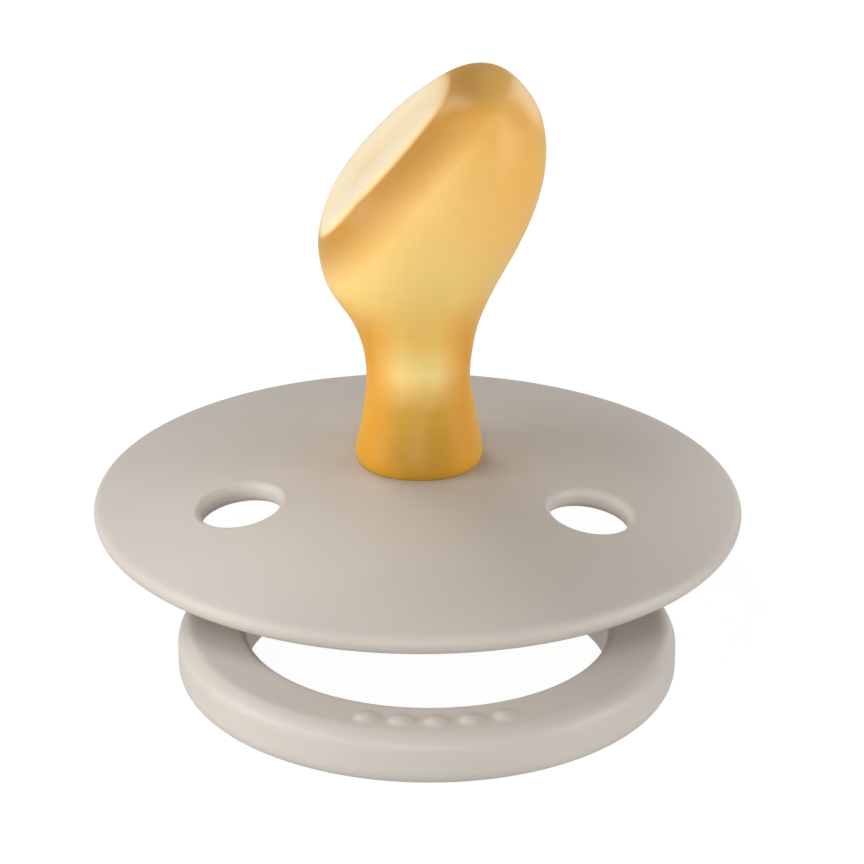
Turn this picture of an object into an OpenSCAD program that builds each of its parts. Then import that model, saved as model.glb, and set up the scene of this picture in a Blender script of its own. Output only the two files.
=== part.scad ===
// Round-shield soother, standing on its knob with the teat up and the handle ring folded flat.
// Millimetres, +Z from the knob's flat base to the teat, -Y towards the folded ring.

/* [Shield] */
// Diameter of the shield
shield_d = 43; // [42:0.5:44]
// Thickness of the shield plate
shield_t = 1.5; // [1.4:0.1:1.6]
// How far the middle of the plate stands above its rim
shield_rise = 2.8; // [2.6:0.05:3]
// Height of the rim's mid-thickness above the surface
rim_z = 5.3; // [5.2:0.1:5.6]
// How far the rounded rim stands proud of the plate's faces
rim_bead = 0.04; // [0.03:0.01:0.2]
// Radius of the hole that holds the teat
neck_hole_r = 3.8; // [3.7:0.1:3.9]
// Turn of the shield and teat on the knob, counted from the hinge line
shield_turn = -4.1; // [-10:0.1:10]
// Radius of the plate's flat middle, from which it curves down
flat_r = 5.1; // [4.5:0.1:6]

/* [Vents] */
// Number of vent holes
vent_count = 3; // [2:1:4]
// Distance of the vent holes from the middle
vent_ring_r = 13.05; // [12.5:0.05:14]
// Radius of a vent hole
vent_r = 2.6; // [2.5:0.05:2.8]
// Rounding of the vent's edges
vent_edge = 0.6; // [0.3:0.05:0.65]

/* [Knob] */
// Radius of the knob
knob_r = 6.5; // [6.4:0.1:6.6]
// Height of the knob, up to its seat under the shield
knob_h = 7.2; // [7.1:0.05:7.3]
// Rounding around the knob's base
knob_edge = 1.2; // [0.8:0.1:1.3]
// Thickness of the knob's wall
knob_wall = 1.2; // [1.1:0.05:1.3]
// Depth of the collar under the shield that holds the knob
collar_h = 0.9; // [0.7:0.1:1.1]
// Wall of that collar
collar_wall = 1.2; // [1:0.1:1.4]

/* [Hinge] */
// Height of the hinge line above the surface
hinge_z = 1.9; // [1.85:0.05:2.1]
// Radius of the ring's hinge bar
bar_r = 1.2; // [1.1:0.05:1.2]
// Running clearance round the bar
bar_gap = 0.06; // [0.04:0.01:0.08]

/* [Handle ring] */
// Outer radius of the ring
ring_ro = 15.85; // [15.5:0.05:16.2]
// Inner radius of the ring
ring_ri = 11.5; // [11.3:0.05:11.7]
// Thickness of the ring
ring_t = 3.5; // [3.2:0.1:3.6]
// Distance from the hinge line to the ring's middle
ring_reach = 14.4; // [14.2:0.1:14.6]
// Rounding of the ring's outer shoulders
outer_round = 1.1; // [0.8:0.1:1.2]
// Rounding of the ring's inner shoulders
inner_round = 0.5; // [0.3:0.1:0.7]
// Gap between the ring's ends and the knob
ring_gap = 0.5; // [0.4:0.05:0.6]

/* [Teat] */
// Wall of the teat
teat_wall = 1.2; // [1:0.1:1.3]
// Slope of the palate face from the horizontal
face_slope = 47.8; // [46:0.1:50]
// Depth of the hollow along the palate face
face_hollow = 0.3; // [0:0.05:0.5]
// Radius of the teat's foot flange
flange_r = 5.3; // [5:0.1:5.3]
// Thickness of the foot flange
flange_t = 1.2; // [1:0.1:1.3]

/* [Plug] */
// Radius of the stem inside the teat's neck
stem_r = 2.6; // [2.4:0.05:2.6]
// Height of the stem above the shield's top
stem_top = 4.2; // [3.9:0.1:4.4]
// Radius of the hollow in the stem
stem_bore_r = 1.3; // [1:0.1:1.5]

/* [Hidden] */
$fn = 96;
eps = 0.01;
shell_colour = [0.80, 0.76, 0.71];
latex_colour = [0.93, 0.68, 0.32];

// From its flat middle the plate follows one arc out to its full-round rim.
rim_edge_r = shield_t / 2 + rim_bead;
rim_r = shield_d / 2 - rim_edge_r;
arc_run = rim_r - flat_r;
dome_r = (arc_run * arc_run + shield_rise * shield_rise) / (2 * shield_rise);
dome_z = rim_z + shield_rise - dome_r;
dome_fn = 720;
seat_z = rim_z + shield_rise + shield_t / 2;

// The foot of the teat, and the plug's flange under it, are held between shield and saddle.
foot_z = knob_h - flange_t;
plug_flange_t = 1.2;
saddle_z = foot_z - plug_flange_t;
saddle_w = 4.8;
floor_t = 1.2;
cavity_r = knob_r - knob_wall;
bore_r = bar_r + bar_gap;
slide_gap = 0.02;

// The folded ring sinks a little from the hinge line, so that its far side lies on the surface.
ring_mid_r = (ring_ro + ring_ri) / 2;
droop = asin((hinge_z - ring_t / 2) / (ring_reach + ring_ro - outer_round));
notch_r = knob_r + ring_gap;
lug_x = 7.8;
lug_back = ring_t / 2;
lug_r = 2.6;

// Raised pips on the far side of the ring's upper face
pip_count = 5;
pip_r = 0.75;
pip_pitch = 2.15;
pip_rise = 0.25;

// The teat's round body, as rows of height above the shield, left and right edge, half width.
// The last row is the tip.
teat_rows = [
    [0, -4.05, 4.15, 4.1],
    [0.8, -4.15, 4.25, 4.2],
    [2.75, -3.75, 3.9, 3.8],
    [5.55, -3.45, 3.4, 3.35],
    [7.95, -3.7, 3.55, 3.8],
    [10.15, -4.55, 4.05, 4.75],
    [12.65, -6.15, 5.1, 6.05],
    [15.2, -6.85, 6.4, 7.1],
    [17.7, -7.25, 7.45, 7.5],
    [20.2, -6.4, 8.05, 7.3],
    [22.55, -4.3, 8.05, 6.55],
    [24.5, -1.3, 7.45, 5.55],
    [26.1, 1.7, 5.95, 4.05],
    [26.35, 4, 4, 0]
];
// The palate face cuts that body: it is upright at its foot and leans back above.
face_x = -7.2;
face_foot = 16.9;
face_bend = 2;
face_edge = 0.5;
hollow_half = 2.6;
hollow_start = 4;
teat_sides = 40;
outer_steps = 3;
inner_steps = 2;
neck_row = 3;
widest_row = 8;
tip_row = len(teat_rows) - 1;
before_tip = teat_rows[tip_row - 1];
teat_h = teat_rows[tip_row][0];
// One row beyond each end, so that the curve starts straight and closes level at the tip
spline_rows = concat(
    [2 * teat_rows[0] - teat_rows[1]],
    teat_rows,
    [[before_tip[0], before_tip[2], before_tip[1], -before_tip[3]]]
);

function hermite(a, b, slope_a, slope_b, t) =
    (2 * pow(t, 3) - 3 * pow(t, 2) + 1) * a + (pow(t, 3) - 2 * pow(t, 2) + t) * slope_a
    + (3 * pow(t, 2) - 2 * pow(t, 3)) * b + (pow(t, 3) - pow(t, 2)) * slope_b;

function teat_row(u) =
    let (i = min(floor(u), tip_row - 1),
         p = [for (k = [0:3]) spline_rows[i + k]])
    hermite(p[1], p[2], (p[2] - p[0]) / 2, (p[3] - p[1]) / 2, u - i);

// The larger of two values, rounded over where they cross
function soft_max(a, b, round_over) = (a + b + sqrt(pow(a - b, 2) + pow(round_over, 2))) / 2;

function palate(h, y) =
    let (d = h - face_foot,
         dip = face_hollow * exp(-pow(y / hollow_half, 2)) * min(1, max(0, d / hollow_start)))
    face_x + (d + sqrt(d * d + face_bend * face_bend)) / 2 / tan(face_slope) + dip;

// How much of the outer size is left inside a wall: the share stays level above the widest row.
function inner_share(u, half, wall) =
    let (ref = u < widest_row ? half : (teat_rows[widest_row][2] - teat_rows[widest_row][1]) / 2)
    1 - wall / ref;

function teat_ring(u, wall) =
    let (row = teat_row(u),
         half = (row[2] - row[1]) / 2,
         mid = (row[2] + row[1]) / 2,
         share = inner_share(u, half, wall),
         h = row[0] * (1 - wall / teat_h),
         face_shift = wall / sin(face_slope))
    [for (s = [0:teat_sides - 1])
        let (a = 360 * s / teat_sides,
             y = row[3] * share * sin(a),
             x = mid + half * share * cos(a))
        [soft_max(x, palate(row[0], y) + face_shift, face_edge), y, seat_z + h]];

function round_ring(r, z) =
    [for (s = [0:teat_sides - 1]) [r * cos(360 * s / teat_sides), r * sin(360 * s / teat_sides), z]];

// Triangles between two rings whose points start at a and b, seen from outside or from inside
function band(a, b, inside) =
    [for (s = [0:teat_sides - 1])
        let (n = (s + 1) % teat_sides)
        each inside
            ? [[a + s, a + n, b + n], [a + s, b + n, b + s]]
            : [[a + s, b + n, a + n], [a + s, b + s, b + n]]];

function fan(a, tip, inside) =
    [for (s = [0:teat_sides - 1])
        let (n = (s + 1) % teat_sides)
        inside ? [a + s, a + n, tip] : [a + s, tip, a + n]];

function flat(rings) = [for (r = rings) each r];

module rounded_slab(r, h, edge) {
    rotate_extrude() {
        translate([0, edge]) square([r, h - edge]);
        square([r - edge, h]);
        translate([r - edge, edge]) circle(edge);
    }
}

// Section of the ring, with its outer side towards +X and its middle at the origin
module ring_section() {
    half = (ring_ro - ring_ri) / 2;
    top = ring_t / 2;
    translate([outer_round - half, -top]) square([2 * (half - outer_round), ring_t]);
    translate([-half, inner_round - top]) square([half, ring_t - 2 * inner_round]);
    translate([0, outer_round - top]) square([half, ring_t - 2 * outer_round]);
    translate([inner_round - half, -top]) square([half, ring_t]);
    for (side = [-1, 1]) {
        translate([half - outer_round, side * (top - outer_round)]) circle(outer_round);
        translate([inner_round - half, side * (top - inner_round)]) circle(inner_round);
    }
}

// Cutter for one vent: a bore that flares over both faces of the plate. The lower flare reaches
// further, because the plate curves away from it.
module vent_cutter() {
    straight = shield_t / 2 - vent_edge;
    curve_away = pow(vent_r + vent_edge, 2) / dome_r;
    rotate_extrude() {
        difference() {
            translate([0, -shield_t]) square([vent_r + vent_edge, 2 * shield_t]);
            translate([vent_r, -straight - curve_away])
            square([vent_edge + eps, 2 * straight + curve_away]);
            translate([vent_r + vent_edge, straight]) circle(vent_edge);
            translate([vent_r + vent_edge, -straight - curve_away]) circle(vent_edge);
        }
    }
}

module plate_profile() {
    translate([0, seat_z - shield_t]) square([flat_r + eps, shield_t]);
    translate([flat_r, dome_z])
    difference() {
        intersection() {
            circle(dome_r + shield_t / 2, $fn = dome_fn);
            polygon([[0, 0], 1.2 * [arc_run, rim_z - dome_z], [0, 1.2 * dome_r]]);
        }
        circle(dome_r - shield_t / 2, $fn = dome_fn);
    }
    translate([rim_r, rim_z]) circle(rim_edge_r);
}

module shield() {
    color(shell_colour)
    rotate([0, 0, shield_turn])
    difference() {
        union() {
            rotate_extrude($fn = 180) plate_profile();
            translate([0, 0, knob_h - collar_h])
            cylinder(r = knob_r + collar_wall, h = collar_h + shield_t / 2);
        }
        translate([0, 0, knob_h - collar_h - eps]) cylinder(r = knob_r, h = collar_h + eps);
        cylinder(r = neck_hole_r, h = 2 * rim_z);
        for (k = [0:vent_count - 1]) {
            rotate([0, 0, 90 + 360 * k / vent_count])
            translate([flat_r, 0, dome_z])
            rotate([0, asin((vent_ring_r - flat_r) / dome_r), 0])
            translate([0, 0, dome_r])
            vent_cutter();
        }
    }
}

// Hollow latex teat: a foot flange under the shield, a waist in its hole, a neck and a slanted bulb
module teat() {
    stem_clear_r = stem_r + slide_gap;
    outer = concat(
        [round_ring(flange_r, foot_z), round_ring(flange_r, knob_h)],
        [round_ring(neck_hole_r, knob_h), round_ring(neck_hole_r, seat_z)],
        [for (k = [0:outer_steps * tip_row - 1]) teat_ring(k / outer_steps, 0)]
    );
    inner = concat(
        [round_ring(stem_clear_r, foot_z), round_ring(stem_clear_r, seat_z + stem_top)],
        [for (k = [inner_steps * neck_row:inner_steps * tip_row - 1]) teat_ring(k / inner_steps, teat_wall)]
    );
    outer_tip = len(outer) * teat_sides;
    inner_start = outer_tip + 1;
    inner_tip = inner_start + len(inner) * teat_sides;
    color(latex_colour)
    rotate([0, 0, shield_turn])
    polyhedron(
        points = concat(
            flat(outer), [teat_ring(tip_row, 0)[0]],
            flat(inner), [teat_ring(tip_row, teat_wall)[0]]
        ),
        faces = concat(
            flat([for (k = [0:len(outer) - 2]) band(k * teat_sides, (k + 1) * teat_sides, false)]),
            fan((len(outer) - 1) * teat_sides, outer_tip, false),
            flat([for (k = [0:len(inner) - 2])
                band(inner_start + k * teat_sides, inner_start + (k + 1) * teat_sides, true)]),
            fan(inner_start + (len(inner) - 1) * teat_sides, inner_tip, true),
            band(0, inner_start, true)
        )
    );
}

// Inner piece: its stem stretches the teat's neck, its flange clamps the foot,
// and its tongue closes the knob's slot over the hinge bar.
module locking_plug() {
    color(shell_colour)
    difference() {
        union() {
            translate([0, 0, saddle_z]) cylinder(r = cavity_r - slide_gap, h = plug_flange_t);
            translate([0, 0, seat_z + stem_top]) mirror([0, 0, 1])
            rounded_slab(stem_r, seat_z + stem_top - foot_z + eps, 0.5);
            difference() {
                intersection() {
                    translate([0, 0, hinge_z]) cylinder(r = knob_r, h = knob_h - hinge_z);
                    translate([-knob_r, slide_gap - bore_r, hinge_z])
                    cube([2 * knob_r, 2 * (bore_r - slide_gap), knob_h - hinge_z]);
                }
                translate([0, 0, foot_z]) cylinder(r = cavity_r, h = flange_t + eps);
            }
        }
        translate([-knob_r - eps, 0, hinge_z]) rotate([0, 90, 0]) cylinder(r = bore_r, h = 2 * knob_r + 2 * eps);
        translate([0, 0, foot_z]) cylinder(r = stem_bore_r, h = 2 * knob_h);
    }
}

// Outer piece: a cup with a saddle across it that carries the ring's hinge bar
module knob_cap() {
    color(shell_colour)
    difference() {
        rounded_slab(knob_r, knob_h, knob_edge);
        translate([0, 0, saddle_z]) cylinder(r = cavity_r, h = knob_h);
        difference() {
            translate([0, 0, floor_t]) cylinder(r = cavity_r, h = knob_h);
            translate([-knob_r, -saddle_w / 2, 0]) cube([2 * knob_r, saddle_w, saddle_z]);
        }
        translate([-knob_r - eps, -bore_r, hinge_z]) cube([2 * knob_r + 2 * eps, 2 * bore_r, knob_h]);
        translate([-knob_r - eps, 0, hinge_z]) rotate([0, 90, 0]) cylinder(r = bore_r, h = 2 * knob_r + 2 * eps);
    }
}

// Round corner that carries the ring's band out to the straight hinge line
module ring_lug() {
    top = ring_t / 2;
    translate([lug_x, ring_reach + lug_back - lug_r, 0])
    rotate_extrude() {
        translate([0, -top]) square([lug_r - outer_round, ring_t]);
        translate([0, outer_round - top]) square([lug_r, ring_t - 2 * outer_round]);
        for (side = [-1, 1]) {
            translate([lug_r - outer_round, side * (top - outer_round)]) circle(outer_round);
        }
    }
}

// Round handle with a straight hinge bar, laid out level about its own middle
module ring_body() {
    difference() {
        union() {
            rotate_extrude($fn = 180) translate([ring_mid_r, 0]) ring_section();
            ring_lug();
            mirror([1, 0, 0]) ring_lug();
        }
        translate([0, ring_reach, -ring_t]) cylinder(r = notch_r, h = 2 * ring_t);
    }
    translate([-notch_r - 0.4, ring_reach, 0]) rotate([0, 90, 0]) cylinder(r = bar_r, h = 2 * notch_r + 0.8);
    for (k = [0:pip_count - 1]) {
        rotate([0, 0, (k - (pip_count - 1) / 2) * pip_pitch / ring_mid_r * 180 / PI])
        translate([0, -ring_mid_r, ring_t / 2 - eps])
        intersection() {
            cylinder(r = pip_r, h = pip_rise + eps);
            translate([0, 0, pip_rise + eps - 2 * pip_r]) sphere(2 * pip_r);
        }
    }
}

module handle_ring() {
    color(shell_colour)
    translate([0, 0, hinge_z])
    rotate([droop, 0, 0])
    translate([0, -ring_reach, 0])
    ring_body();
}

shield();
teat();
locking_plug();
knob_cap();
handle_ring();
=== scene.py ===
"""Round-shield soother standing on its knob, teat up, with the handle ring folded flat towards -Y.

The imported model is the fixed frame. The shield, ring, knob and teat are rebuilt here as fine meshes
with rounded edges; the plug inside keeps its own mesh. Sizes are in millimetres until a mesh is made.
"""
import itertools
import math
import bpy
import numpy as np
import bmesh
from mathutils import Matrix, Vector
from mathutils.geometry import delaunay_2d_cdt


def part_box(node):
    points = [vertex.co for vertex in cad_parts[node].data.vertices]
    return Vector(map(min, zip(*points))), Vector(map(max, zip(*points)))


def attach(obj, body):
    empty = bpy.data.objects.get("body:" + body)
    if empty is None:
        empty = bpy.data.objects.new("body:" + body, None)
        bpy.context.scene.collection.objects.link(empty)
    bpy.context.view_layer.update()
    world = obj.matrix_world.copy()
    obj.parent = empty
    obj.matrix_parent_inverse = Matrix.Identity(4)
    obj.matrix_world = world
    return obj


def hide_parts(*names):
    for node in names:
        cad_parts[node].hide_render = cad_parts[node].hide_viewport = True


MM = 0.001
TAU = 2 * math.pi

# ---- sizes, as in the design ----
RIM_Z = 5.3
SHIELD_T = 1.5
SHIELD_RISE = 2.8
FLAT_R = 5.1
RIM_BEAD = 0.04
NECK_HOLE_R = 3.8
SHIELD_TURN = math.radians(-4.1)
VENT_COUNT = 3
VENT_RING_R = 13.05
VENT_R = 2.6
VENT_EDGE = 0.6
KNOB_EDGE = 1.2
KNOB_WALL = 1.2
KNOB_FLOOR = 1.2
COLLAR_H = 0.9
COLLAR_WALL = 1.2
HINGE_Z = 1.9
BAR_R = 1.2
RING_RO = 15.85
RING_RI = 11.5
RING_T = 3.5
RING_REACH = 14.4
OUTER_ROUND = 1.1
INNER_ROUND = 0.5
RING_GAP = 0.5
LUG_X = 7.8
LUG_R = 2.6
BORE_R = 1.26
PIP_COUNT = 5
PIP_R = 0.75
PIP_PITCH = 2.15
PIP_RISE = 0.25
TEAT_WALL = 1.2
FLANGE_R = 5.3
FLANGE_T = 1.2
STEM_R = 2.62
STEM_TOP = 4.2

# ---- small edges and fillets ----
LIP_ROUND = 0.3
MOUTH_ROUND = 0.15
COLLAR_ROUND = 0.25
COLLAR_FILLET = 0.5
FLANGE_ROUND = 0.2
WAIST_DROP = 0.1
SLOT_ROUND = 0.3
LUG_FILLET = 0.6
NOTCH_ROUND = 0.4
BAR_FILLET = 0.35
BAR_SUNK = 0.4
PIP_ROUND = 0.12
PIP_FILLET = 0.1

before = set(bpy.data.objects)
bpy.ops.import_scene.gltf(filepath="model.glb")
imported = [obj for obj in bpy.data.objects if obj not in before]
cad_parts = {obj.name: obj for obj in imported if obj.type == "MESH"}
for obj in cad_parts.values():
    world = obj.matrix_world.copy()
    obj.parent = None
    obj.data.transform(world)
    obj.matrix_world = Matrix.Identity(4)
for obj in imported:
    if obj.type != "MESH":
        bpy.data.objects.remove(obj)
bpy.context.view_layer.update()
shield_lo, shield_hi = (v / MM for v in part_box("shield"))
knob_lo, knob_hi = (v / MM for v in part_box("knob_cap"))
KNOB_R = knob_hi.x
KNOB_H = knob_hi.z
SHIELD_R = (shield_hi.x - shield_lo.x) / 2
RIM_EDGE_R = SHIELD_T / 2 + RIM_BEAD
RIM_R = SHIELD_R - RIM_EDGE_R
DOME_R = ((RIM_R - FLAT_R) ** 2 + SHIELD_RISE ** 2) / (2 * SHIELD_RISE)
DOME_Z = RIM_Z + SHIELD_RISE - DOME_R
RING_MID_R = (RING_RO + RING_RI) / 2
DROOP = math.asin((HINGE_Z - RING_T / 2) / (RING_REACH + RING_RO - OUTER_ROUND))


def dome_height(radius, offset):
    """Height of the plate's surface at a distance from the axis; offset is from its mid-thickness."""
    return DOME_Z + math.sqrt((DOME_R + offset) ** 2 - max(radius - FLAT_R, 0) ** 2)


SEAT_Z = dome_height(NECK_HOLE_R, SHIELD_T / 2)
SHIELD_PLACE = Matrix.Rotation(SHIELD_TURN, 4, "Z")


# ---- materials ----
SAND = (0.535, 0.49, 0.435)


def nodes_of(name):
    mat = bpy.data.materials.new(name)
    mat.use_nodes = True
    tree = mat.node_tree
    shader = next(n for n in tree.nodes if n.type == "BSDF_PRINCIPLED")
    return mat, tree, shader


def noise(tree, coords, scale, detail=2.0):
    node = tree.nodes.new("ShaderNodeTexNoise")
    node.inputs["Scale"].default_value = scale
    node.inputs["Detail"].default_value = detail
    tree.links.new(coords, node.inputs["Vector"])
    return node.outputs["Fac"]


def ramp(tree, factor, stops):
    node = tree.nodes.new("ShaderNodeValToRGB")
    elements = node.color_ramp.elements
    while len(elements) < len(stops):
        elements.new(0.5)
    for element, (place, colour) in zip(elements, stops):
        element.position = place
        element.color = (*colour, 1)
    tree.links.new(factor, node.inputs["Fac"])
    return node.outputs["Color"]


def spread(tree, factor, low, high):
    node = tree.nodes.new("ShaderNodeMapRange")
    node.inputs["To Min"].default_value = low
    node.inputs["To Max"].default_value = high
    tree.links.new(factor, node.inputs["Value"])
    return node.outputs["Result"]


def bump(tree, height, distance, strength):
    node = tree.nodes.new("ShaderNodeBump")
    node.inputs["Distance"].default_value = distance
    node.inputs["Strength"].default_value = strength
    tree.links.new(height, node.inputs["Height"])
    return node.outputs["Normal"]


def plastic(name, colour):
    """Satin moulded polypropylene: fine spark-erosion grain and a faint change of tone."""
    mat, tree, shader = nodes_of(name)
    coords = tree.nodes.new("ShaderNodeTexCoord").outputs["Object"]
    shade = [tuple(c * k for c in colour) for k in (0.975, 1.02)]
    tone = ramp(tree, noise(tree, coords, 90), [(0.35, shade[0]), (0.65, shade[1])])
    tree.links.new(tone, shader.inputs["Base Color"])
    grain = noise(tree, coords, 5200, 3)
    tree.links.new(spread(tree, grain, 0.42, 0.56), shader.inputs["Roughness"])
    tree.links.new(bump(tree, grain, 0.00003, 0.25), shader.inputs["Normal"])
    shader.inputs["Specular IOR Level"].default_value = 0.45
    return mat


def along(tree, coords, direction, start, end):
    """Runs from 0 to 1 between two places along a direction of the teat's own frame, in millimetres."""
    turned_way = Matrix.Rotation(SHIELD_TURN, 3, "Z") @ Vector(direction)
    dot = tree.nodes.new("ShaderNodeVectorMath")
    dot.operation = "DOT_PRODUCT"
    dot.inputs[1].default_value = turned_way
    tree.links.new(coords, dot.inputs[0])
    node = tree.nodes.new("ShaderNodeMapRange")
    node.inputs["From Min"].default_value = start * MM
    node.inputs["From Max"].default_value = end * MM
    tree.links.new(dot.outputs["Value"], node.inputs["Value"])
    return node.outputs["Result"]


def blend(tree, factor, first, second):
    """Mixes two colours, each a value or a socket."""
    node = tree.nodes.new("ShaderNodeMix")
    node.data_type = "RGBA"
    tree.links.new(factor, node.inputs[0])
    for colour, socket in ((first, node.inputs[6]), (second, node.inputs[7])):
        if isinstance(colour, tuple):
            socket.default_value = (*colour, 1)
        else:
            tree.links.new(colour, socket)
    return node.outputs[2]


def math_node(tree, operation, *values):
    """A maths node on sockets and plain numbers."""
    node = tree.nodes.new("ShaderNodeMath")
    node.operation = operation
    for value, socket in zip(values, node.inputs):
        if isinstance(value, (int, float)):
            socket.default_value = value
        else:
            tree.links.new(value, socket)
    return node.outputs["Value"]


def mask(tree, factor, stops):
    """A ramp of plain levels."""
    return ramp(tree, factor, [(place, (level, level, level)) for place, level in stops])


# The latex's tones run between two heights: a share of the way up, and the colour there.
# The darkest tones, at the foot, are painted shade where the plug's stem inside blocks the light through
# the rubber.
TONES_FROM = 8
TONES_TO = 36
LATEX_TONES_AND_FOOT_SHADE = [
    (0.03, (0.50, 0.26, 0.02)),
    (0.13, (0.56, 0.32, 0.04)),
    (0.22, (0.64, 0.39, 0.06)),
    (0.31, (1.00, 0.76, 0.32)),
    (0.42, (0.98, 0.62, 0.16)),
    (0.60, (0.98, 0.68, 0.25)),
    (0.85, (0.96, 0.64, 0.22)),
    (1.0, (0.96, 0.60, 0.17)),
]
# Painted shade as deeper tones on the neck's flanks, the bulb's back and beside the palate face, and a
# painted reflection as the face's paler one
FLANK_SHADE_TONE = (0.74, 0.34, 0.02)
BACK_SHADE_TONE = (0.90, 0.50, 0.11)
CREASE_SHADE_TONE = (0.56, 0.29, 0.05)
PALATE_REFLECTION_TONE = (1.0, 0.77, 0.52)
FRONT_REACH = 5


def palate_front(tree, coords):
    """Distance in front of the palate face, less where the face bends upright at its foot.

    It runs from 0 at the face to 1 at FRONT_REACH."""
    lean = (math.sin(FACE_SLOPE), 0, -math.cos(FACE_SLOPE))
    foot_z = SEAT_Z + FACE_FOOT
    zero = FACE_X * lean[0] + foot_z * lean[2]
    distance = along(tree, coords, lean, zero, zero + FRONT_REACH)
    bend = along(tree, coords, (0, 0, 1), foot_z - 1.5, foot_z + 3)
    return math_node(tree, "SUBTRACT", distance, spread(tree, bend, 0.11, 0))


def latex(name):
    """Milky natural rubber, with painted shade as deeper amber at the foot, on the flanks and back, and
    along the palate edge, and a painted reflection as a paler palate face.
    """
    mat, tree, shader = nodes_of(name)
    coords = tree.nodes.new("ShaderNodeTexCoord").outputs["Object"]
    rise = along(tree, coords, (0, 0, 1), TONES_FROM, TONES_TO)
    cloudy_rise = math_node(tree, "MULTIPLY_ADD", noise(tree, coords, 260, 3), 0.05, rise)
    body = ramp(tree, cloudy_rise, LATEX_TONES_AND_FOOT_SHADE)
    # Painted shade: deeper amber on the neck's flanks, where less light comes through the thick sides.
    flank_shade_across = mask(tree, along(tree, coords, (1, 0, 0), -4, 4), [(0.12, 1), (0.38, 0), (0.66, 0), (0.90, 1)])
    neck = mask(tree, rise, [(0.02, 0.6), (0.30, 1), (0.38, 0.9), (0.50, 0)])
    body = blend(tree, math_node(tree, "MULTIPLY", flank_shade_across, neck), body, FLANK_SHADE_TONE)
    # Painted shade: deeper amber on the bulb's back.
    body = blend(tree, along(tree, coords, (1, 0, 0), 2.5, 8), body, BACK_SHADE_TONE)
    front = palate_front(tree, coords)
    # Painted shade: a darker band beside the palate face's edge.
    crease_shade = mask(tree, front, [(0.07, 0), (0.12, 1), (0.24, 0.9), (0.66, 0)])
    body = blend(tree, crease_shade, body, CREASE_SHADE_TONE)
    # Painted reflection: a paler palate face, as if it mirrored a bright light.
    face = mask(tree, front, [(0.05, 1), (0.12, 0)])
    tree.links.new(blend(tree, face, body, PALATE_REFLECTION_TONE), shader.inputs["Base Color"])
    shader.inputs["Roughness"].default_value = 0.34
    shader.inputs["IOR"].default_value = 1.4
    shader.inputs["Specular IOR Level"].default_value = 0.2
    shader.inputs["Transmission Weight"].default_value = 0.15
    shader.inputs["Subsurface Weight"].default_value = 1.0
    shader.inputs["Subsurface Radius"].default_value = (1.0, 0.75, 0.3)
    shader.inputs["Subsurface Scale"].default_value = 0.0008
    absorb = tree.nodes.new("ShaderNodeVolumeAbsorption")
    absorb.inputs["Color"].default_value = (1.0, 0.80, 0.22, 1)
    absorb.inputs["Density"].default_value = 300
    output = next(n for n in tree.nodes if n.type == "OUTPUT_MATERIAL")
    tree.links.new(absorb.outputs["Volume"], output.inputs["Volume"])
    return mat


# ---- mesh helpers ----
WELD = 0.002
SHARP = math.radians(40)


def piece(name, points, faces, place, material, body, node):
    """A smooth-shaded mesh piece that rides on a body and stands for one node; points in millimetres."""
    mesh = bpy.data.meshes.new(name)
    mesh.from_pydata([place @ Vector(p) * MM for p in points], [], faces)
    bm = bmesh.new()
    bm.from_mesh(mesh)
    bmesh.ops.remove_doubles(bm, verts=bm.verts, dist=WELD * MM)
    bmesh.ops.recalc_face_normals(bm, faces=bm.faces)
    for face in bm.faces:
        face.smooth = True
    bm.to_mesh(mesh)
    bm.free()
    mesh.set_sharp_from_angle(angle=SHARP)
    mesh.materials.append(material)
    obj = bpy.data.objects.new(name, mesh)
    bpy.context.scene.collection.objects.link(obj)
    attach(obj, body)
    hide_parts(node)


def arc(centre, radius, start, end, steps):
    """Points on an arc in a plane; angles in degrees."""
    turns = [math.radians(start + (end - start) * k / steps) for k in range(steps + 1)]
    return [(centre[0] + radius * math.cos(a), centre[1] + radius * math.sin(a)) for a in turns]


class Shape:
    """Points and faces of one piece, gathered strip by strip."""

    def __init__(self):
        self.points = []
        self.faces = []

    def add_loops(self, loops):
        """Quads between neighbouring closed loops of equal length."""
        first = len(self.points)
        count = len(loops[0])
        for loop in loops:
            self.points.extend(loop)
        for k in range(len(loops) - 1):
            for i in range(count):
                a = first + k * count + i
                b = first + k * count + (i + 1) % count
                self.faces.append((a, b, b + count, a + count))

    def add_faces(self, points, faces):
        first = len(self.points)
        self.points.extend(points)
        self.faces.extend(tuple(first + i for i in face) for face in faces)


def turned(profile, count):
    """Loops of a profile of (radius, height) points turned about the Z axis."""
    angles = [TAU * i / count for i in range(count)]
    return [[Vector((r * math.cos(a), r * math.sin(a), z)) for a in angles] for r, z in profile]


# ---- shield ----
RIM_COUNT = 288
CORE_COUNT = 128
VENT_LOOP = 72
RIM_STEPS = 18
FLARE_STEPS = 8
SHEET_ROWS = 16
INNER_ROW_COUNT = 96
OUTER_ROW_COUNT = 144
INNER_ROWS_TO = 9


def vent_places():
    """Frames on the plate's mid-thickness, one per vent, with local Z square to the plate."""
    lean = math.asin((VENT_RING_R - FLAT_R) / DOME_R)
    for k in range(VENT_COUNT):
        turn = Matrix.Rotation(math.radians(90) + TAU * k / VENT_COUNT, 4, "Z")
        yield (turn @ Matrix.Translation((FLAT_R, 0, DOME_Z)) @ Matrix.Rotation(lean, 4, "Y")
               @ Matrix.Translation((0, 0, DOME_R)))


def on_plate(place, radius, angle, offset):
    """The point of the plate's face that lies over a spot in a vent's frame."""
    spot = Vector((radius * math.cos(angle), radius * math.sin(angle), offset))
    for _ in range(4):
        p = place @ spot
        spot.z += dome_height(p.xy.length, offset) - p.z
    return spot


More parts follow.
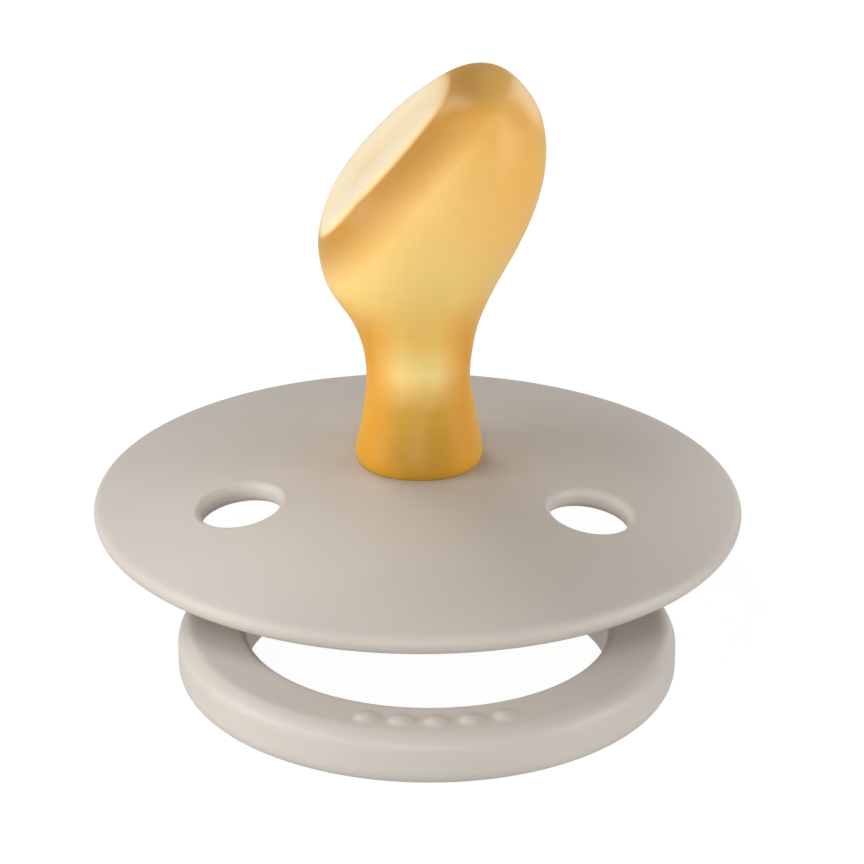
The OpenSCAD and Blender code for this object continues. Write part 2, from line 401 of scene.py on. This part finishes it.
def vent_wall(place):
    """Loops of a vent's wall, from the upper face through the bore to the lower face.

    The flares bend with the plate, so that they end on its faces."""
    half = SHIELD_T / 2
    straight = half - VENT_EDGE
    keep_off = VENT_R + VENT_EDGE
    profile = [(r, z, half) for r, z in arc((keep_off, straight), VENT_EDGE, 90, 180, FLARE_STEPS)]
    profile += [(r, z, -half) for r, z in arc((keep_off, -straight), VENT_EDGE, 180, 270, FLARE_STEPS)]
    angles = [TAU * i / VENT_LOOP for i in range(VENT_LOOP)]
    loops = []
    for r, z, face in profile:
        follow = ((r - VENT_R) / VENT_EDGE) ** 2
        loops.append([])
        for a in angles:
            sag = on_plate(place, keep_off, a, face).z - face
            loops[-1].append(place @ Vector((r * math.cos(a), r * math.sin(a), z + sag * follow)))
    return loops


def sheet(shape, offset, inner_r, outer_r, vents):
    """One face of the plate between two circles, triangulated round the vents.

    Two rings of free points round each vent, and rows of them elsewhere, keep the triangles even."""
    points = []
    edges = []

    def add_loop(loop):
        first = len(points)
        points.extend(loop)
        edges.extend((first + i, first + (i + 1) % len(loop)) for i in range(len(loop)))

    def circle(radius, count, shift=0.0):
        return [(radius * math.cos(TAU * (i + shift) / count), radius * math.sin(TAU * (i + shift) / count))
                for i in range(count)]

    add_loop(circle(outer_r, RIM_COUNT))
    add_loop(circle(inner_r, CORE_COUNT))
    keep_off = VENT_R + VENT_EDGE
    to_vents = [place.inverted() for place in vents]

    def clear_of_vents(x, y, margin):
        spot = Vector((x, y, dome_height(math.hypot(x, y), offset)))
        return all((to_vent @ spot).xy.length > keep_off + margin for to_vent in to_vents)

    near_ring, far_ring, row_margin = 0.3, 0.75, 1.2
    for place in vents:
        for grow in (0, near_ring, far_ring):
            loop = [place @ on_plate(place, keep_off + grow, TAU * i / VENT_LOOP, offset)
                    for i in range(VENT_LOOP)]
            if grow:
                points.extend((p.x, p.y) for p in loop)
            else:
                add_loop([(p.x, p.y) for p in loop])
    for k in range(1, SHEET_ROWS):
        radius = inner_r + (outer_r - inner_r) * k / SHEET_ROWS
        count = INNER_ROW_COUNT if radius < INNER_ROWS_TO else OUTER_ROW_COUNT
        for p in circle(radius, count, 0.5 * (k % 2)):
            if clear_of_vents(*p, row_margin):
                points.append(p)
    flat, _, faces, *_ = delaunay_2d_cdt([Vector(p) for p in points], edges, [], 1, 1e-6)
    kept = []
    for face in faces:
        x = sum(flat[i].x for i in face) / 3
        y = sum(flat[i].y for i in face) / 3
        if math.hypot(x, y) > inner_r and clear_of_vents(x, y, 0):
            kept.append(tuple(face))
    shape.add_faces([Vector((p.x, p.y, dome_height(p.length, offset))) for p in flat], kept)


def build_shield():
    shape = Shape()
    vents = list(vent_places())
    half = SHIELD_T / 2
    tilt = math.degrees(math.asin((RIM_R - FLAT_R) / DOME_R))
    # round rim, easing from the plate's faces to the slight bead
    rim = []
    for k in range(RIM_STEPS + 1):
        a = 90 - tilt - 180 * k / RIM_STEPS
        r = half + RIM_BEAD * math.sin(math.pi * k / RIM_STEPS)
        rim.append((RIM_R + r * math.cos(math.radians(a)), RIM_Z + r * math.sin(math.radians(a))))
    top_out, low_out = rim[0][0], rim[-1][0]
    shape.add_loops(turned(rim, RIM_COUNT))
    # hole for the teat, seat, and the collar that holds the knob
    top_in = NECK_HOLE_R + LIP_ROUND
    low_in = KNOB_R + COLLAR_WALL + COLLAR_FILLET
    lip_z = dome_height(top_in, half) - LIP_ROUND
    collar_z = KNOB_H - COLLAR_H
    outer = KNOB_R + COLLAR_WALL
    core = [(top_in, dome_height(top_in, half))]
    core += arc((top_in, lip_z), LIP_ROUND, 90, 180, 5)[1:]
    core += [(NECK_HOLE_R, (KNOB_H + lip_z) / 2), (NECK_HOLE_R, KNOB_H), (KNOB_R, KNOB_H)]
    core += arc((KNOB_R + MOUTH_ROUND, collar_z + MOUTH_ROUND), MOUTH_ROUND, 180, 270, 4)
    core += arc((outer - COLLAR_ROUND, collar_z + COLLAR_ROUND), COLLAR_ROUND, 270, 360, 5)
    core += arc((low_in, dome_height(low_in, -half) - COLLAR_FILLET), COLLAR_FILLET, 180, 90, 6)
    shape.add_loops(turned(core, CORE_COUNT))
    sheet(shape, half, top_in, top_out, vents)
    sheet(shape, -half, low_in, low_out, vents)
    for place in vents:
        shape.add_loops(vent_wall(place))
    piece("shield_shell", shape.points, shape.faces, SHIELD_PLACE, shell_mat, "soother_body", "shield")


# ---- teat ----
# Round body: height above the shield, left and right edge, half width; the last row is the tip.
TEAT_ROWS = [
    (0, -4.05, 4.15, 4.1),
    (0.8, -4.15, 4.25, 4.2),
    (2.75, -3.75, 3.9, 3.8),
    (5.55, -3.45, 3.4, 3.35),
    (7.95, -3.7, 3.55, 3.8),
    (10.15, -4.55, 4.05, 4.75),
    (12.65, -6.15, 5.1, 6.05),
    (15.2, -6.85, 6.4, 7.1),
    (17.7, -7.25, 7.45, 7.5),
    (20.2, -6.4, 8.05, 7.3),
    (22.55, -4.3, 8.05, 6.55),
    (24.5, -1.3, 7.45, 5.55),
    (26.1, 1.7, 5.95, 4.05),
    (26.35, 4, 4, 0),
]
FACE_X = -7.2
FACE_FOOT = 16.9
FACE_BEND = 2
FACE_EDGE = 0.5
FACE_SLOPE = math.radians(47.8)
FACE_HOLLOW = 0.3
HOLLOW_HALF = 2.6
HOLLOW_START = 4
NECK_ROW = 3
WIDEST_ROW = 8
TEAT_SIDES = 192
TEAT_STEPS = 12
TIP_ROW = len(TEAT_ROWS) - 1


def teat_spline():
    """The rows with one more beyond each end, so that the curve closes level at the tip."""
    first, second, before = (Vector(TEAT_ROWS[k]) for k in (0, 1, -2))
    beyond = Vector((before[0], before[2], before[1], -before[3]))
    return [2 * first - second, *map(Vector, TEAT_ROWS), beyond]


SPLINE = teat_spline()


def teat_row(u):
    i = min(int(u), TIP_ROW - 1)
    t = u - i
    p = SPLINE[i:i + 4]
    slope_a = (p[2] - p[0]) / 2
    slope_b = (p[3] - p[1]) / 2
    return ((2 * t ** 3 - 3 * t ** 2 + 1) * p[1] + (t ** 3 - 2 * t ** 2 + t) * slope_a
            + (3 * t ** 2 - 2 * t ** 3) * p[2] + (t ** 3 - t ** 2) * slope_b)


def palate(h, y):
    """How far left the palate face lets the body reach at a height."""
    d = h - FACE_FOOT
    dip = FACE_HOLLOW * math.exp(-(y / HOLLOW_HALF) ** 2) * min(1, max(0, d / HOLLOW_START))
    return FACE_X + (d + math.sqrt(d * d + FACE_BEND ** 2)) / 2 / math.tan(FACE_SLOPE) + dip


def teat_loop(u, wall):
    """One loop of the teat's outside, or of its inside when wall is its thickness."""
    h, left, right, depth = teat_row(u)
    half = (right - left) / 2
    widest = (TEAT_ROWS[WIDEST_ROW][2] - TEAT_ROWS[WIDEST_ROW][1]) / 2
    share = 1 - wall / (half if u < WIDEST_ROW else widest)
    shift = wall / math.sin(FACE_SLOPE)
    z = SEAT_Z + h * (1 - wall / TEAT_ROWS[-1][0])
    loop = []
    for i in range(TEAT_SIDES):
        a = TAU * i / TEAT_SIDES
        x = (left + right) / 2 + half * share * math.cos(a)
        y = depth * share * math.sin(a)
        face = palate(h, y) + shift
        x = (x + face + math.sqrt((x - face) ** 2 + FACE_EDGE ** 2)) / 2
        loop.append(Vector((x, y, z)))
    return loop


def build_teat():
    shape = Shape()
    foot_z = KNOB_H - FLANGE_T
    foot = [(STEM_R, SEAT_Z + STEM_TOP), (STEM_R, SEAT_Z), (STEM_R, foot_z)]
    foot += arc((FLANGE_R - FLANGE_ROUND, foot_z + FLANGE_ROUND), FLANGE_ROUND, 270, 360, 3)
    foot += [(FLANGE_R, KNOB_H), (NECK_HOLE_R, KNOB_H), (NECK_HOLE_R, SEAT_Z - WAIST_DROP)]
    outside = [teat_loop(k / TEAT_STEPS, 0) for k in range(TEAT_STEPS * TIP_ROW + 1)]
    inside = [teat_loop(k / TEAT_STEPS, TEAT_WALL)
              for k in range(TEAT_STEPS * TIP_ROW, TEAT_STEPS * NECK_ROW - 1, -1)]
    shape.add_loops(inside + turned(foot, TEAT_SIDES) + outside)
    piece("teat_latex", shape.points, shape.faces, SHIELD_PLACE, latex_mat, "soother_body", "teat")


# ---- ring and knob, as skins over distance functions ----
def soft_min(a, b, reach):
    """The smaller of two distances, with a fillet where they are within reach of each other."""
    near = np.maximum(reach - np.abs(a - b), 0) / reach
    return np.minimum(a, b) - near ** 2 * reach / 4


def soft_max(a, b, reach):
    return -soft_min(-a, -b, reach)


def round_max(a, b, radius):
    """What is inside both, with an edge of exactly that radius."""
    a = a + radius
    b = b + radius
    return np.minimum(np.maximum(a, b), 0) + np.hypot(np.maximum(a, 0), np.maximum(b, 0)) - radius


def settle(distance, points):
    """Moves points onto the surface where the distance is zero."""
    probe = 0.01
    for _ in range(4):
        slope = np.stack([(distance(points + step) - distance(points - step)) / (2 * probe)
                          for step in probe * np.eye(3)], -1)
        points = points - slope * (distance(points) / np.maximum((slope ** 2).sum(-1), 0.1))[:, None]
    return points


def skin(distance, low, high, step):
    """Points and quads over the surface of a distance function, one point in each grid cell on it."""
    axes = [np.arange(a - step, b + 2 * step, step) for a, b in zip(low, high)]
    grid = np.stack(np.meshgrid(*axes, indexing="ij"), -1)
    inside = distance(grid) < 0
    cells = [n - 1 for n in inside.shape]
    count = sum(inside[i:cells[0] + i, j:cells[1] + j, k:cells[2] + k].astype(int)
                for i, j, k in itertools.product((0, 1), repeat=3))
    mixed = (count > 0) & (count < 8)
    index = np.zeros(mixed.shape, int)
    index[mixed] = np.arange(mixed.sum())
    points = settle(distance, grid[:-1, :-1, :-1][mixed] + step / 2)
    quads = []
    for axis in range(3):
        order = (axis, (axis + 1) % 3, (axis + 2) % 3)
        solid = inside.transpose(order)
        near = index.transpose(order)
        change = solid[:-1, 1:-1, 1:-1] != solid[1:, 1:-1, 1:-1]
        quad = np.stack([near[:, :-1, :-1][change], near[:, 1:, :-1][change],
                         near[:, 1:, 1:][change], near[:, :-1, 1:][change]], -1)
        flip = ~solid[:-1, 1:-1, 1:-1][change]
        quad[flip] = quad[flip][:, ::-1]
        quads.append(quad)
    return points, np.concatenate(quads)


def ring_distance(p):
    """The handle, level, with its own middle at the origin and its hinge towards +Y."""
    x, y, z = np.moveaxis(p, -1, 0)
    radius = np.hypot(x, y)
    band = np.abs(radius - RING_MID_R) - (RING_RO - RING_RI) / 2
    lug = np.hypot(np.abs(x) - LUG_X, y - RING_REACH - RING_T / 2 + LUG_R) - LUG_R
    notch = KNOB_R + RING_GAP - np.hypot(x, y - RING_REACH)
    plan = soft_max(soft_min(band, lug, LUG_FILLET), notch, NOTCH_ROUND)
    face = np.abs(z) - RING_T / 2
    body = round_max(plan, face, np.where(radius > RING_MID_R, OUTER_ROUND, INNER_ROUND))
    bar = np.maximum(np.hypot(y - RING_REACH, z) - BAR_R, np.abs(x) - KNOB_R - RING_GAP - BAR_SUNK)
    body = soft_min(body, bar, BAR_FILLET)
    turn = PIP_PITCH / RING_MID_R
    for k in range(PIP_COUNT):
        a = (k - (PIP_COUNT - 1) / 2) * turn
        aside = np.hypot(x - RING_MID_R * math.sin(a), y + RING_MID_R * math.cos(a))
        dome = np.hypot(aside, z - RING_T / 2 - PIP_RISE + 2 * PIP_R) - 2 * PIP_R
        pip = np.maximum(soft_max(dome, aside - PIP_R, PIP_ROUND), RING_T / 4 - z)
        body = soft_min(body, pip, PIP_FILLET)
    return body


def knob_distance(p):
    x, y, z = np.moveaxis(p, -1, 0)
    radius = np.hypot(x, y)
    body = np.maximum(round_max(radius - KNOB_R, -z, KNOB_EDGE), z - KNOB_H)
    slot = np.hypot(y, np.minimum(z - HINGE_Z, 0)) - BORE_R
    body = soft_max(body, -slot, SLOT_ROUND)
    well = np.maximum(radius - KNOB_R + KNOB_WALL, KNOB_FLOOR - z)
    return np.maximum(body, -well)


RING_GRID = 0.22
KNOB_GRID = 0.2


def build_ring():
    around, below, past_hinge, above = 0.5, 0.3, 2.2, 0.2
    side = RING_RO + around
    low = (-side, -side, -RING_T / 2 - below)
    high = (side, RING_REACH + past_hinge, RING_T / 2 + PIP_RISE + above)
    points, quads = skin(ring_distance, low, high, RING_GRID)
    place = (Matrix.Translation((0, 0, HINGE_Z)) @ Matrix.Rotation(DROOP, 4, "X")
             @ Matrix.Translation((0, -RING_REACH, 0)))
    piece("ring_handle", points.tolist(), quads.tolist(), place, shell_mat, "handle", "handle_ring")


def build_knob():
    points, quads = skin(knob_distance, (-KNOB_R, -KNOB_R, 0), (KNOB_R, KNOB_R, KNOB_H), KNOB_GRID)
    piece("knob_cup", points.tolist(), quads.tolist(), Matrix(), shell_mat, "soother_body", "knob_cap")


# ---- pieces ----
shell_mat = plastic("sand_plastic", SAND)
latex_mat = latex("natural_latex")
build_shield()
build_teat()
build_ring()
build_knob()
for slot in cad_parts["locking_plug"].material_slots:
    slot.material = shell_mat


# ---- floor, light and camera ----
FLOOR_HALF = 3.0
LAMP_SIZE = 0.25
LAMP_DISTANCE = 0.43
LAMP_AIM = Vector((0, -0.005, 0.006))
# Level of the surroundings below and above the horizon
BELOW_LEVEL = 0.58
ABOVE_LEVEL = 0.18
# Name, azimuth from the front to the right, elevation, watts
LAMPS = [
    ("left_low", -80, 12, 1.0),
    ("right_low", 75, 12, 1.0),
    ("front_low", -5, 12, 0.76),
    ("left_front", -50, 14, 0.4),
    ("left_high", -80, 45, 0.3),
    ("back_left", -150, 45, 0.6),
    ("back_right", 145, 12, 0.35),
]


def build_floor():
    """A white table that glows, so that it stays clean white, and throws no light on the soother."""
    mesh = bpy.data.meshes.new("floor")
    corners = [(x * FLOOR_HALF, y * FLOOR_HALF, 0) for x, y in ((-1, -1), (1, -1), (1, 1), (-1, 1))]
    mesh.from_pydata(corners, [], [(0, 1, 2, 3)])
    mat, _, shader = nodes_of("white_floor")
    shader.inputs["Base Color"].default_value = (0.10, 0.10, 0.10, 1)
    shader.inputs["Roughness"].default_value = 0.9
    shader.inputs["Specular IOR Level"].default_value = 0.0
    shader.inputs["Emission Color"].default_value = (1, 1, 1, 1)
    shader.inputs["Emission Strength"].default_value = 0.95
    mesh.materials.append(mat)
    floor = bpy.data.objects.new("floor", mesh)
    floor.visible_diffuse = False
    floor.visible_glossy = False
    bpy.context.scene.collection.objects.link(floor)


def add_lamp(name, azimuth, elevation, power):
    """A round soft box that faces the soother from a direction given in degrees."""
    turn, rise = math.radians(azimuth), math.radians(elevation)
    away = Vector((math.sin(turn) * math.cos(rise), -math.cos(turn) * math.cos(rise), math.sin(rise)))
    data = bpy.data.lights.new(name, "AREA")
    data.shape = "DISK"
    data.size = LAMP_SIZE
    data.energy = power
    lamp = bpy.data.objects.new(name, data)
    lamp.location = LAMP_AIM + away * LAMP_DISTANCE
    lamp.rotation_euler = (-away).to_track_quat("-Z", "Y").to_euler()
    bpy.context.scene.collection.objects.link(lamp)


def build_light():
    """Lamps all round, in front of surroundings that are brighter below the horizon than above it."""
    world = bpy.data.worlds.new("studio")
    world.use_nodes = True
    tree = world.node_tree
    sky = tree.nodes["Background"]
    coords = tree.nodes.new("ShaderNodeTexCoord").outputs["Generated"]
    height = tree.nodes.new("ShaderNodeSeparateXYZ")
    tree.links.new(coords, height.inputs["Vector"])
    level = mask(tree, height.outputs["Z"], [(0, BELOW_LEVEL), (0.03, ABOVE_LEVEL)])
    tree.links.new(level, sky.inputs["Color"])
    bpy.context.scene.world = world
    for lamp in LAMPS:
        add_lamp(*lamp)


CAMERA_TURN = math.radians(-2.71)
CAMERA_RISE = math.radians(23.43)
CAMERA_ROLL = math.radians(0.43)
CAMERA_DISTANCE = 300
CAMERA_AIM = Vector((1.0, 1.88, 9.74))
CAMERA_LENS = 187.9


def build_camera():
    azimuth, elevation, roll = CAMERA_TURN, CAMERA_RISE, CAMERA_ROLL
    back = Vector((math.sin(azimuth) * math.cos(elevation), -math.cos(azimuth) * math.cos(elevation),
                   math.sin(elevation)))
    right = Vector((math.cos(azimuth), math.sin(azimuth), 0))
    up = back.cross(right)
    turned_right = right * math.cos(roll) + up * math.sin(roll)
    turned_up = back.cross(turned_right)
    data = bpy.data.cameras.new("camera")
    data.sensor_width = 36
    data.lens = CAMERA_LENS
    data.clip_start = 0.01
    camera = bpy.data.objects.new("camera", data)
    axes = Matrix((turned_right, turned_up, back)).transposed().to_4x4()
    camera.matrix_world = Matrix.Translation((CAMERA_AIM + back * CAMERA_DISTANCE) * MM) @ axes
    bpy.context.scene.collection.objects.link(camera)
    bpy.context.scene.camera = camera


build_floor()
build_light()
build_camera()
bpy.context.scene.view_settings.view_transform = "Standard"
